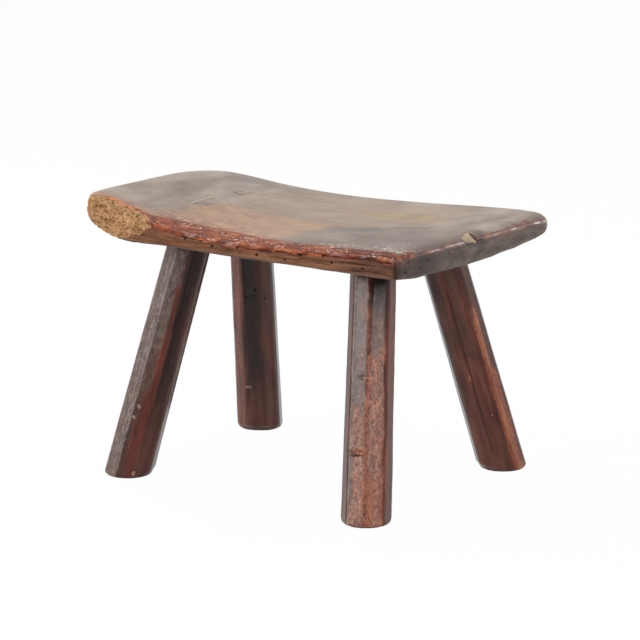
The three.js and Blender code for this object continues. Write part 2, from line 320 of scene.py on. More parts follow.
def chipShare(point):
    if point.x < seatSizes["chipX"] or not seatSizes["chipFrom"] < point.y < seatSizes["chipTo"]:
        return 0.0
    return 1 - ease(abs(point.dot(Vector(seatSizes["chipWay"])) - seatSizes["chipOffset"]), 0.3, 0.9)


def crackShare(point):
    spot = Vector((point.x, point.y + 1.2 * grit(point, (12, 6, 9), 2.9)))
    best = (0.0, 0.0)
    for half, depth, line in seatSizes["cracks"]:
        share = 1 - ease(fromLine(spot, line), half * 0.4, half * 1.8)
        best = max(best, (share, share * depth))
    return best


def holeSpots():
    half = seatSizes["halfWidth"]
    spots = [Vector((x, -half, z)) for x, z in seatSizes["nearHoles"]]
    for y, z in seatSizes["endHoles"]:
        spots.append(Vector((seatSizes["endFace"] + seatSizes["endSkew"] * y, y, z)))
    spots += [Vector((x, half, z)) for x, z in seatSizes["farHoles"]]
    return spots


seatMarks = (
    "waxFilmAndSheen", "rubbed", "ochre", "smear", "warm", "varnish", "rust", "side", "sideDark", "sideLow", "end",
    "endPaleAndSheen", "endRed", "endLine", "deep", "under", "crumble", "chip", "specks", "darkAndShade", "hole", "gloss",
)


def paintSeat(point, out, crumble):
    # what the wear bares at a point, in shares from 0 to 1
    sizes = seatSizes
    x, y, z = point
    near, far = y + sizes["halfWidth"], sizes["halfWidth"] - y
    toEnd = sizes["halfLength"] - 2 + sizes["endSkew"] * y - x
    fuzz = grit(point, (14, 8, 9), 9.1)
    rim = along(sizes["nearRim"], x)
    band = along(sizes["varnishTo"], x)
    bare = 1 if crumble < 0 else 0

    # the faces of the plank
    upper, under = ease(out.z, 0.5, 0.85), ease(-out.z, 0.35, 0.7)
    flank = (1 - upper) * (1 - under)
    nearSide = flank * ease(-out.y, 0.3, 0.6)
    endSide = flank * ease(out.x, 0.25, 0.6)
    leftSide = flank * ease(-out.x, 0.4, 0.8)
    other = flank * (1 - ease(-out.y, 0.3, 0.6)) * (1 - ease(out.x, 0.25, 0.6)) - leftSide
    byCorner = 1 - ease(y, -96, -66)
    byPatch = (1 - ease(near + 9 * fuzz, 16, 42)) * (1 - ease(x, -96, -70))
    leftPart = ease(-x, 42, 104)

    # red varnish on the near arris, over it onto the face, and along the other edges
    overTop = 1 - ease(near + 6 * fuzz, band * 0.45, band * 1.05)
    overFace = ease(z + 1.2 * fuzz, rim - 4.5, rim - 1.5)
    varnish = max(overTop * upper, overFace * nearSide)
    atEnd = 1 - ease(toEnd + 3 * fuzz, 1.5 + 2 * byCorner, 4 + 9 * byCorner)
    endRed = max(atEnd * upper * ease(-y, 64, 90), 0.8 * endSide * ease(z, 206, 208.5) * byCorner)
    endLine = max(atEnd * upper * 0.8, endSide * ease(z + fuzz, 205.5, 208.5)) * (1 - byCorner)
    leftRed = 0.7 * (1 - ease(x + sizes["halfLength"] + 3 * fuzz, 3, 8)) * upper
    farRed = 0.6 * (1 - ease(far + 3 * fuzz, 3, 9)) * max(upper, other * ease(z + 2 * fuzz, rim - 4, rim))
    deep = max(0.8 * ease(x, 50, 110), 0.2 * (1 - ease(x, -80, -50)), 0.35 * ease(rim - z, 0, 3))
    gloss = within(out.z, sizes["glossSlope"]) * max(varnish, endRed, endLine)
    gloss *= ease(grit(point, (13, 13, 9), 4.9), 0.06, 0.28)

    # stains and rubbing on the top
    onSmear = ease(along(sizes["smearEdge"], x) - y + 9 * fuzz, -11, 9) * ease(x + 8 * fuzz, 10, 48)
    rubbed = within(near, sizes["rubbedAcross"]) * within(x, sizes["rubbedAlong"])
    middle, reach = sizes["ochreSpot"], sizes["ochreReach"]
    ochre = math.hypot((x - middle[0]) / reach[0], (y - middle[1] + 0.15 * x) / reach[1])
    middle, reach = sizes["rustStreak"], sizes["rustReach"]
    streak = math.hypot((x - middle[0]) / reach[0], (y - middle[1]) / reach[1])
    middle = sizes["rustSpot"]
    spot = math.hypot(x - middle[0], (y - middle[1]) * 1.3)
    rusty = max(1 - ease(spot, 2, 6), 1 - ease(streak, 0.4, 1.2))
    rust = (1 - ease(abs(-crumble - 1.5), 1.2, 3.2)) * within(x, sizes["rustAlong"])
    beside = (1 - ease(near + 8 * fuzz, band * 0.9, band * 2.6)) * (1 - 0.8 * onSmear)

    # pale flecks: on the varnish, scattered inwards from it, and thinning out over the smear
    scatter = (1 - ease(near + 5 * fuzz, band * 0.9, band * 2.2)) * within(x, sizes["flecksAlong"])
    specks = max(overTop * ease(x, -96, -78) * (1 - 0.3 * ease(near, 16, 30)), 0.95 * scatter,
                 0.85 * max(endRed, endLine), onSmear * (0.98 - 0.46 * ease(near, 24, 70)), 0.3 * leftPart)
    specks *= 0.97 + 0.3 * grit(point, (17, 9, 9), 6.1)

    # the tones of the sides
    upFace = max(0.75 * ease(z, rim - 7, rim - 2), ease(x, 40, 130))
    lowFace = (1 - ease(z + 0.8 * fuzz, 196, 199.5)) * (1 - 0.8 * ease(x, 60, 130))
    # paler away from the near corner and low down on the right end: painted sheen
    endSheen = max(0.75 * ease(y, -84, -40), ease(y, -50, 20) * (1 - ease(z, 196, 205)))
    return {
        # a grey film on the top, greyer to the left, the far side and the right end as painted sheen
        "waxFilmAndSheen": upper * max(leftPart, 0.55 * ease(y, 50, 100), ease(x, 72, 126), 0.3),
        "rubbed": upper * rubbed,
        "ochre": upper * max(1 - ease(ochre, 0.55, 1.25), 0.8 * rusty),
        "smear": upper * onSmear,
        "warm": upper * max(beside, 0.35 * rusty, 0.75 * byPatch),
        "rust": upper * rust,
        "varnish": bare * max(varnish, 0.9 * endRed, leftRed, farRed) * (1 - under),
        "deep": bare * max(varnish, 0.9 * endRed) * deep * (1 - under),
        "gloss": bare * gloss,
        "side": max(nearSide, other, leftSide),
        "sideDark": 0.7 * other + nearSide * upFace,
        "sideLow": nearSide * lowFace,
        "end": max(endSide, leftSide),
        "endPaleAndSheen": 0.8 * leftSide + endSide * endSheen,
        "endRed": max(endSide, leftSide) * ease(z + 2 * fuzz, 197, 207) * (0.6 + 0.4 * byCorner),
        "endLine": endLine,
        "under": under,
        "specks": bare * specks * (1 - ease(-out.y, 0.75, 0.95)) * (1 - under) * (1 - endSide),
        # darker in the upright corner of the face and the right end
        "cornerDarkening": endSide * (1 - ease(near + fuzz, 1.5, 4.5)) * (1 - ease(z, 203, 207)),
    }


def makeSeat(material):
    form = fineCopy("seat", "seatPlank", seatSizes["voxel"], seatSizes["smoothing"])
    holes = holeSpots()
    refine(form, lambda p: any((p - h).length < seatSizes["holeReach"] for h in holes), 2)
    refine(form, lambda p: inBox(p, seatSizes["crumbleBox"]) and crumbleShare(p) > -1, 1)
    refine(form, lambda p: cleftShare(p) > 0.02, 1)
    refine(form, lambda p: inBox(p, seatSizes["chipBox"]), 1)
    refine(form, lambda p: inBox(p, seatSizes["arrisBox"]), 1)
    marks = {name: [] for name in seatMarks}
    chipWay = Vector(seatSizes["chipWay"])
    moves = []
    for vert in form.verts:
        point, out = vert.co / mm, vert.normal
        upper, under = ease(out.z, 0.5, 0.9), ease(-out.z, 0.4, 0.8)
        flank = 1 - ease(abs(out.z), 0.3, 0.7)
        edge = crumbleShare(point) if inBox(point, seatSizes["crumbleBox"]) else unbroken
        crumble = ease(edge, -0.5, 0.9)
        cleft, chip = cleftShare(point), chipShare(point)
        crack, crackDepth = crackShare(point) if upper else (0.0, 0.0)
        # hewn hollows, soft grain ridges and furrows along the sides
        move = -upper * wornDip(point) - crackDepth
        move -= seatSizes["edgeWobble"] * flank * (0.6 + grit(point, seatSizes["wobbleWide"], 2.2))
        nearFace = flank * ease(-out.y, 0.4, 0.7)
        furrow = max(0.0, grit(point, seatSizes["furrowWide"], 3.7) + 0.15)
        move -= seatSizes["faceFurrow"] * nearFace * furrow
        if point.y < -96 and upper < 1 and not crumble:
            move -= seatSizes["arrisNibble"] * max(0.0, grit(point, seatSizes["nibbleWide"], 1.3))
        if under:
            long, wide = seatSizes["adzeMark"]
            reach = noise.voronoi(Vector((point.x / long, point.y / wide, 0)))[0][0]
            move -= seatSizes["hewnUnder"] * under * (1 - min(1.0, reach * 1.3))
        if crumble:
            grain = abs(grit(point, seatSizes["crumbleGrain"]))
            grain += 0.6 * abs(grit(point, seatSizes["crumbleFine"], 4.4))
            grain *= 0.3 + 1.3 * ease(grit(point, (13, 9, 6), 6.6), -0.3, 0.35)
            move -= crumble * (0.25 + seatSizes["crumbleDepth"] * grain)
        move -= seatSizes["cleftDepth"] * cleft
        move -= chip * (0.2 + seatSizes["chipRelief"] * abs(grit(point, seatSizes["chipWide"], 6.0)))
        hole, radius = 0.0, seatSizes["holeRadius"]
        for spot in holes:
            if (point - spot).length < seatSizes["holeReach"]:
                flat = (point - spot) - out * (point - spot).dot(out)
                hole = max(hole, 1 - ease(flat.length, radius * 0.75, radius * 1.25))
        move -= seatSizes["holeDepth"] * hole
        moves.append(out * move)
        shares = paintSeat(point, out, edge)
        shares["crumble"], shares["chip"], shares["hole"] = crumble, chip, hole
        tornAndShadow = 0.0
        if inBox(point, seatSizes["tornBox"]):
            # the step at the chip's far end as painted shadow, and the torn fibres below it darker
            stepShadow = 1 - ease(abs(point.y + 2.6), 0.5, 1.3)
            stepShadow *= ease(point.dot(chipWay) - seatSizes["chipOffset"], -1.5, 0.5)
            spot = Vector((point.y + 0.8 * grit(point, (3, 3, 3), 1.7), point.z))
            tornAndShadow = max(stepShadow, 1 - ease(fromLine(spot, seatSizes["tornLine"]), 0.3, 1.1))
        # the clefts, cracks and upright corner darker, and the chip's step as painted shadow
        shares["darkAndShade"] = max(0.8 * cleft, 0.5 * crack, tornAndShadow * (1 - chip), 0.9 * shares["cornerDarkening"])
        for name in seatMarks:
            marks[name].append(shares[name])
    for vert, step in zip(form.verts, moves):
        vert.co += step * mm
    finishPiece(form, "seatPlank", marks, None, material, "seat")


# Patterns of the plank in mm: its grain runs along x
plankPatterns = {
    "fibre": ((26, 1.5, 1.5), 5, 0.6), "streak": ((95, 6.5, 6.5), 4, 0.55), "cloud": ((52, 44, 30), 4, 0.55),
    "mottle": ((7.5, 4.5, 4.5), 4, 0.6), "patchy": ((15, 4.5, 5), 6, 0.72),
    "endCloud": ((20, 20, 8), 4, 0.6),
    # grit and specks are finer on the real one, and drawn as coarse as they show
    "spot": ((2.3, 1.9, 1.9), 3, 0.6), "crumb": ((2.2, 2.2, 2.2), 3, 0.7),
    # longer across the plank, because the top is seen at a low angle
    "blotch": ((30, 62, 30), 4, 0.55),
}
waxRough = 0.46
topTones = [(0.38, "#715f51"), (0.46, "#87725f"), (0.54, "#967f6a"), (0.64, "#a58e77")]
# coats over the worn top, which the tenons and wedges share
filmMarks = ("waxFilmAndSheen", "ochre", "rubbed", "smear", "warm")
filmCoats = [
    # the grey film on the top, in part painted sheen
    ("waxFilmAndSheen", "cloud", 1.2, 0.15, 0.8, 0.95, "blotch",
     [(0.38, "#6f5f54"), (0.5, "#857569"), (0.62, "#9a8b7e")], 0.42),
    ("ochre", "blotch", 1.2, 0.25, 1.0, 0.65, "blotch", [(0.38, "#8a7250"), (0.62, "#a38c69")], 0.5),
    ("rubbed", "streak", 1.8, 0.3, 1.0, 0.85, "fibre",
     [(0.34, "#7a5a45"), (0.44, "#95755b"), (0.56, "#a78567"), (0.7, "#b39274")], 0.5),
    ("smear", "mottle", 1.2, 0.15, 0.95, 0.92, "cloud",
     [(0.38, "#55453a"), (0.5, "#68574a"), (0.62, "#7a685b")], 0.4),
    ("warm", "mottle", 2.2, 0.25, 1.05, 0.8, "mottle",
     [(0.36, "#5a3a2c"), (0.46, "#845a44"), (0.54, "#9e7357"), (0.64, "#ab8468")], 0.42),
]
# coats of the plank alone, down to the near black in its holes
woodCoats = [
    ("rust", "spot", 0.8, 0.3, 0.7, 0.9, "mottle", [(0.36, "#8a4320"), (0.6, "#c27a42")], 0.4),
    ("side", "spot", 0.2, 0.3, 0.7, 1.0, "fibre",
     [(0.3, "#361c0f"), (0.42, "#56321d"), (0.54, "#6a4128"), (0.7, "#805839")], 0.5),
    ("sideLow", "mottle", 1.0, 0.3, 0.8, 0.6, "fibre", [(0.36, "#5d3823"), (0.6, "#825c40")], 0.5),
    ("side", "patchy", 3.6, 1.45, 1.85, 0.75, "spot", [(0.36, "#20110b"), (0.64, "#412719")], 0.6),
    ("sideDark", "streak", 1.8, 0.35, 1.0, 0.8, "fibre",
     [(0.32, "#27140e"), (0.48, "#4e3024"), (0.66, "#6e4630")], 0.42),
    ("end", "spot", 0.2, 0.3, 0.7, 1.0, "endCloud",
     [(0.3, "#21140f"), (0.5, "#32231b"), (0.7, "#46332a")], 0.34),
    # paler tone of the ends, and painted sheen on the right end away from its near corner and low down
    ("endPaleAndSheen", "endCloud", 1.6, 0.2, 1.0, 0.9, "endCloud",
     [(0.3, "#473830"), (0.5, "#594a41"), (0.7, "#6d5e54")], 0.38),
    ("endRed", "endCloud", 2.4, 0.4, 1.1, 0.8, "mottle",
     [(0.34, "#3c1d16"), (0.5, "#563128"), (0.66, "#6b4439")], 0.32),
    ("endLine", "mottle", 1.0, 0.3, 0.9, 0.85, "endCloud",
     [(0.36, "#46190f"), (0.5, "#6f3723"), (0.64, "#9a6a4f")], 0.4),
    ("under", "spot", 0.2, 0.3, 0.7, 1.0, "streak",
     [(0.34, "#35261f"), (0.5, "#4a372d"), (0.66, "#5f4a3c")], 0.6),
    ("varnish", "patchy", 2.2, 0.3, 0.8, 0.95, "patchy",
     [(0.33, "#270b06"), (0.43, "#5c1f0f"), (0.53, "#8c4120"), (0.66, "#b0703c")], 0.5),
    ("deep", "mottle", 1.4, 0.3, 1.0, 0.85, "patchy",
     [(0.34, "#260a06"), (0.5, "#551c11"), (0.66, "#7f4032")], 0.5),
    ("crumble", "spot", 0.5, 0.35, 0.6, 1.0, "crumb",
     [(0.33, "#3f2818"), (0.42, "#86603c"), (0.52, "#a87e57"), (0.68, "#b99370")], 0.85),
    ("crumble", "mottle", 3.0, 1.12, 1.4, 0.85, "fibre", [(0.34, "#9c7750"), (0.66, "#bd9870")], 0.85),
    ("crumble", "patchy", 3.0, 1.14, 1.42, 0.8, "crumb", [(0.4, "#26160c"), (0.6, "#6f4a2a")], 0.85),
    ("chip", "spot", 1.4, 0.45, 0.9, 1.0, "mottle", [(0.36, "#937d62"), (0.62, "#c2af93")], 0.7),
    ("specks", "spot", 4.4, 1.45, 1.58, 0.9, "cloud", [(0.3, "#cbbcab"), (0.7, "#e0d5c8")], 0.35),
    # near black in the clefts, open cracks and upright corner, and painted shadow at the chip's step
    ("darkAndShade", "mottle", 1.4, 0.35, 0.75, 0.9, "spot", [(0.3, "#1a0f0a"), (0.7, "#39241a")], 0.7),
    ("hole", "cloud", 0.0, 0.3, 0.6, 1.0, "spot", [(0.3, "#100a07"), (0.7, "#1c120d")], 0.9),
]


def wornTop(tree):
    # the wax film of the seat's top, which also lies over the tenons and wedges let into it
    place = addNode(tree, "TexCoord").outputs["Object"]
    place = addNode(tree, "Mapping", {"Vector": place, "Scale": (1000, 1000, 1000)}).outputs[0]
    patterns = makePatterns(tree, place, plankPatterns)
    mixed = addNode(tree, "Mix", {0: 0.4, 2: patterns["fibre"], 3: patterns["streak"]}).outputs[0]
    mixed = addNode(tree, "Mix", {0: 0.4, 2: mixed, 3: patterns["cloud"]}).outputs[0]
    return patterns, addNode(tree, "ValToRGB", {0: mixed}, stops=topTones).outputs[0]


# Old hardwood plank, hewn and rubbed by use: tan grain under a grey wax film that is partly
# painted sheen, red shellac left along the arrises, and dry worm-eaten end grain where the
# corner has crumbled.
def seatMaterial():
    material, tree, shader = newMaterial("wornWaxedHardwood")
    marks = {name: addNode(tree, "Attribute", attribute_name=name).outputs["Fac"] for name in seatMarks}
    patterns, tone = wornTop(tree)
    colour, rough = layCoats(tree, filmCoats + woodCoats, marks, patterns, tone, waxRough)
    tree.links.new(colour, shader.inputs["Base Color"])
    tree.links.new(rough, shader.inputs["Roughness"])
    shader.inputs["IOR"].default_value = 1.48
    # the crazed varnish and the bare sides are duller than the wax
    dull = addNode(tree, "Math", {0: marks["varnish"], 1: marks["side"]}, operation="MAXIMUM").outputs[0]
    sheen = addNode(tree, "MapRange", {0: dull, 3: 0.32, 4: 0.17}).outputs[0]
    tree.links.new(sheen, shader.inputs["Specular IOR Level"])
    # but still glossy in places along the arrises
    tree.links.new(marks["gloss"], shader.inputs["Coat Weight"])
    shader.inputs["Coat Roughness"].default_value = 0.14
    fine = addNode(tree, "Mix", {0: 0.5, 2: patterns["fibre"], 3: patterns["spot"]}).outputs[0]
    bump = addNode(tree, "Bump", {"Height": fine, "Strength": 0.4, "Distance": 0.0005})
    lumps = addNode(tree, "Bump", {"Height": patterns["patchy"], "Strength": marks["varnish"],
                                   "Distance": 0.0022, "Normal": bump.outputs[0]})
    tree.links.new(lumps.outputs[0], shader.inputs["Coat Normal"])
    pits = addNode(tree, "Bump", {"Height": patterns["crumb"], "Strength": marks["crumble"],
                                  "Distance": 0.0014, "Normal": lumps.outputs[0]})
    tree.links.new(pits.outputs[0], shader.inputs["Normal"])
    return material


# Legs
legSizes = {
    "voxel": 0.85, "smoothing": 2, "height": 194.5,
    # how deep each kind of wear goes, and how wide it is along the leg's own x, y and z
    "unevenness": 0.3, "pitting": 0.12, "arrisWear": 0.35,
    "unevenWide": (16, 16, 48), "pittingWide": (3.4, 3.4, 5.0), "arrisWide": (7, 7, 16),
    # where the eight-sided shaft ends, and how far from an arris its wear reaches in degrees
    "shaftEnd": (196, 200), "arrisReach": (2.0, 6.5),
    # tenons: how far their ends are beaten out, their radius, a height just below their ends, and
    # the middle of the front left one's end
    "tenonSwell": 3.0, "tenonRadius": 13.4, "tenonFrom": 203.0, "tenonMiddle": (-93.5, -27.0),
}
legPlans = {
    # end, side, distance from the seat's end and side, lean along and across, turn of the flats
    "front_left": (-1, -1, 58.6, 76.0, 6.4, 17.3, 0.0),
    "front_right": (1, -1, 69.2, 66.0, 9.2, 15.8, -15.0),
    "back_right": (1, 1, 66.0, 69.0, 8.1, 16.4, -20.0),
    "back_left": (-1, 1, 62.0, 72.0, 8.5, 15.0, 5.0),
}
# worn strips of each leg: the mark, the way they face in degrees right of the camera's, half
# width in degrees, from and to in mm up the leg, strength
wornStrips = {
    "front_left": [
        # on the front left: the bloom strip at -36 is a painted highlight line along the arris, the other
        # bloom strips are partly painted sheen, and the dark strip is painted shade on the facet turned from
        # the lamps
        ("bloomAndSheen", -13, 22, 100, 220, 0.75), ("bloomAndSheen", -14, 24, 60, 120, 0.4),
        ("bloomAndSheen", -58, 26, 0, 220, 0.85), ("bloomAndSheen", -36, 7, 0, 220, 1.0),
        ("brown", 0, 24, 0, 120, 0.5), ("brown", 60, 30, 0, 220, 0.5),
        ("red", 6, 8, 30, 150, 0.9), ("red", -4, 12, 0, 70, 1.0), ("darkAndShade", 32, 16, 60, 220, 0.75),
        ("brown", 36, 18, 0, 90, 0.5),
    ],
    "front_right": [
        # on the front right: the bloom and scuff strips along the left arris are a painted highlight line,
        # the bloom strips on the facets partly painted sheen, and the dark strip at the top painted shadow
        # under the seat
        ("bloomAndSheen", -28, 20, 0, 220, 0.65), ("bloomAndSheen", 17, 20, 0, 156, 0.75), ("brown", 60, 30, 0, 220, 1.0),
        ("crackle", -20, 26, 0, 90, 0.82), ("crackle", 14, 26, 0, 130, 0.82),
        ("crackle", 0, 40, 60, 178, 0.45), ("scuffAndHighlight", -49, 2.6, 0, 196, 0.9),
        ("orange", 5, 14, 0, 36, 0.65), ("orange", 36, 14, 0, 60, 0.55), ("orange", -6, 5, 0, 100, 0.5),
        ("red", -6, 3.0, 60, 168, 1.0), ("red", 39.5, 3.0, 0, 190, 1.0), ("bloomAndSheen", -46, 6, 0, 196, 1.0),
        ("brown", -66, 14, 0, 220, 0.8), ("red", -66, 8, 0, 120, 0.5),
        ("darkAndShade", 17, 18, 160, 220, 1.0), ("tan", -20, 80, -5, 1.2, 0.45),
    ],
    "back_right": [
        # on the back right: the bloom strips are partly painted sheen
        ("brown", 10, 70, 0, 110, 1.0), ("brown", 10, 70, 90, 220, 0.7), ("bloomAndSheen", 10, 50, 110, 220, 0.3),
        ("bloomAndSheen", 62, 16, 90, 220, 0.4), ("red", 26, 9, 40, 190, 0.6),
        ("crackle", 40, 12, 0, 150, 0.5), ("orange", 41, 14, 0, 140, 0.75), ("orange", 48, 22, 0, 90, 0.85),
        ("red", 4, 12, 20, 80, 0.5), ("red", -14, 3, 20, 178, 0.7), ("darkAndShade", -10.5, 2.0, 20, 178, 1.0),
        ("orange", -15, 3, 84, 96, 0.8), ("tan", 30, 60, -5, 1.2, 0.6), ("red", 62, 20, 0, 200, 0.5),
    ],
    "back_left": [
        # on the back left: the dark strips are painted shade
        ("brown", -50, 24, 0, 220, 1.0), ("orange", -52, 22, 0, 220, 0.4), ("orange", -33, 5, 0, 80, 0.35),
        ("darkAndShade", -8, 20, 60, 220, 0.75), ("brown", 38, 24, 0, 220, 0.7), ("red", 15, 2.5, 40, 200, 0.6),
        ("red", 50, 14, 0, 110, 0.7), ("orange", 56, 5, 40, 100, 0.35), ("darkAndShade", 74, 5, 101, 220, 1.0),
        ("brown", -8, 20, 0, 60, 0.6), ("tan", -30, 30, -5, 1.0, 0.3),
    ],
}
# worn strips that every leg has on the sides turned from the camera
backStrips = [
    ("brown", 120, 26, 0, 220, 0.8), ("brown", -155, 30, 0, 220, 0.7), ("red", 165, 12, 0, 130, 0.7),
    ("red", 100, 5, 30, 200, 0.8), ("red", -112, 5, 20, 180, 0.8), ("orange", 142, 4, 0, 90, 0.45),
    ("crackle", -130, 12, 0, 50, 0.5), ("bloomAndSheen", 170, 16, 120, 220, 0.35),
]
# small knocks: the way they face, mm up the leg, half sizes across and up in mm, depth, mark
wornKnocks = {
    "front_left": [
        (-19, 56, 1.5, 2.2, 0.2, "scuffAndHighlight"), (-24, 47, 1.5, 2.0, 0.2, "scuffAndHighlight"), (12, 3, 2.0, 2.2, 1.0, "tan"),
    ],
    "front_right": [
        # on the front right: the dark crease of the low notch is painted shade, and the bloom below it and
        # on the knock higher up is painted highlight on their lips
        (-30, 52, 7.0, 2.6, 1.6, "red"), (-28, 50.2, 7.5, 0.7, 0.9, "darkAndShade"),
        (-12, 109, 6.0, 1.4, 0.5, "bloomAndSheen"), (-9, 104, 2.2, 2.4, 0.2, "red"),
        (-28, 46, 7.0, 1.0, 0.0, "bloomAndSheen"), (20, 22, 0.8, 0.8, 0.1, "tan"),
    ],
    "back_right": [(13, 54, 0.8, 0.8, 0.1, "tan"), (-16, 90, 1.2, 1.4, 0.2, "orange")],
    "back_left": [
        (-19, 136, 0.9, 0.9, 2.5, "hole"), (2.5, 137, 0.9, 0.9, 2.5, "hole"),
        (6, 143, 0.9, 0.9, 2.5, "hole"), (33, 133.5, 0.8, 0.8, 2.5, "hole"),
        (-25, 49, 3.0, 1.6, 0.4, "scuffAndHighlight"),
    ],
}
legMarks = (
    "brown", "bloomAndSheen", "red", "orange", "crackle", "scuffAndHighlight", "tan", "darkAndShade", "end", "jointAndShade", "sole", "hole",
)


def legFrame(plan):
    end, side, fromEnd, fromSide, rake, splay, turn = plan
    head = Vector((end * (seatSizes["halfLength"] - fromEnd), side * (seatSizes["halfWidth"] - fromSide),
                   legSizes["height"]))
    lean = Vector((end * math.tan(math.radians(rake)), side * math.tan(math.radians(splay)), -1))
    foot = head + lean * legSizes["height"]
    tilt = Vector((0, 0, 1)).rotation_difference(-lean.normalized())
    back = (tilt @ Quaternion((0, 0, 1), math.radians(turn))).inverted()
    return foot, back


def halfTurn(angle):
    # the same angle between -180 and 180 degrees
    return (angle + 540) % 360 - 180


def filmShares(point, top):
    # the marks of the seat's top carried over a tenon or wedge
    if not top:
        return dict.fromkeys(filmMarks, 0.0)
    shares = paintSeat(point, Vector((0, 0, 1)), unbroken)
    return {key: shares[key] * top for key in filmMarks}


def makeLeg(name, material):
    form = fineCopy("leg_" + name, name + "Leg", legSizes["voxel"], legSizes["smoothing"])
    foot, back = legFrame(legPlans[name])
    turn = legPlans[name][6]
    marks = {key: [] for key in legMarks + filmMarks}
    moves, own = [], []
    seed = 10.0 * len(name) + legPlans[name][2]
    # the way the tenon's trimmed end faces
    tenonFrom = legSizes["tenonFrom"]
    ends = [v.normal for v in form.verts if v.co.z > tenonFrom * mm and v.normal.z > 0.9]
    endWay = sum(ends, Vector()).normalized()
    for vert in form.verts:
        point, out = vert.co / mm, vert.normal
        spot = back @ (point - foot)
        own.extend((spot.x, spot.y, spot.z))
        radius = math.hypot(spot.x, spot.y)
        angle = math.degrees(math.atan2(spot.y, spot.x))
        facing = halfTurn(angle + turn - (cameraView["azimuth"] - 90))
        corner = abs((angle + 22.5) % 45 - 22.5)
        arris = 1 - ease(corner, *legSizes["arrisReach"])
        shaft = 1 - ease(spot.z, *legSizes["shaftEnd"])
        top = ease(out.z, 0.6, 0.85) * ease(point.z, tenonFrom, tenonFrom + 2)
        move = -legSizes["unevenness"] * shaft * (0.5 + grit(spot, legSizes["unevenWide"], seed))
        move -= legSizes["pitting"] * shaft * abs(grit(spot, legSizes["pittingWide"], seed + 7))
        worn = max(0.0, grit(spot, legSizes["arrisWide"], seed + 4) + 0.2)
        move -= legSizes["arrisWear"] * shaft * arris * worn
        shares = {key: 0.0 for key in legMarks}
        fuzz = grit(spot, (7, 7, 26), seed + 2)
        for mark, way, half, low, high, strength in wornStrips[name] + backStrips:
            off = abs(halfTurn(facing - way)) + 0.45 * half * fuzz
            share = 1 - ease(off, half * 0.5, half * 1.25)
            share *= 1 - ease(spot.z + 20 * fuzz, high - 8, high + 8)
            share *= ease(spot.z + 12 * fuzz, low - 8, low + 8) if low > 0 else 1
            shares[mark] = max(shares[mark], strength * share * shaft)
        for way, height, wide, tall, deep, mark in wornKnocks[name]:
            across = math.radians(halfTurn(facing - way)) * radius
            reach = math.hypot(across / wide, (spot.z - height) / tall)
            share = 1 - ease(reach + 0.5 * grit(spot, (2.5, 2.5, 2.5), seed + 9), 0.6, 1.25)
            shares[mark] = max(shares[mark], share * shaft)
            move -= deep * share * shaft
        shares["end"] = top
        if point.z > tenonFrom:
            # a faint grey ring at the joint, and a grey near half on the front left one, which is painted
            # shade
            middle = legSizes["tenonMiddle"]
            shadedHalf = (point.x - middle[0]) * 0.58 - (point.y - middle[1]) * 0.81
            shadedHalf = ease(shadedHalf + 3 * fuzz, 0, 9) if name == "front_left" else 0.0
            ring = ease(radius, legSizes["tenonRadius"] - 1, legSizes["tenonRadius"])
            ring *= 0.5 + grit(point, (12, 12, 12), 5.0)
            shares["jointAndShade"] = top * max(0.5 * ring, 0.8 * shadedHalf)
        shares["sole"] = max(1 - ease(point.z, 0.3, 2.6), ease(-out.z, 0.6, 0.9) * (point.z < 3))
        shares.update(filmShares(point, top))
        for key in marks:
            marks[key].append(shares[key])
        step = out * move
        if point.z > tenonFrom - 3:
            # the tenon's end is beaten out over its joint and worn down with the seat's top
            flat = back.inverted() @ Vector((spot.x, spot.y, 0)).normalized()
            flat -= endWay * flat.dot(endWay)
            swell = ease(radius, 7, 13) * ease(point.z, tenonFrom + 2, tenonFrom + 5)
            step += flat * legSizes["tenonSwell"] * swell
            step.z -= (wornDip(point + step) + 0.01) * ease(out.z, -0.2, 0.5)
        # nothing sinks into the floor
        step.z = max(step.z, 0.001 - point.z)
        moves.append(step)
    for vert, step in zip(form.verts, moves):
        vert.co += step * mm
    finishPiece(form, name + "Leg", marks, own, material, "leg_" + name)


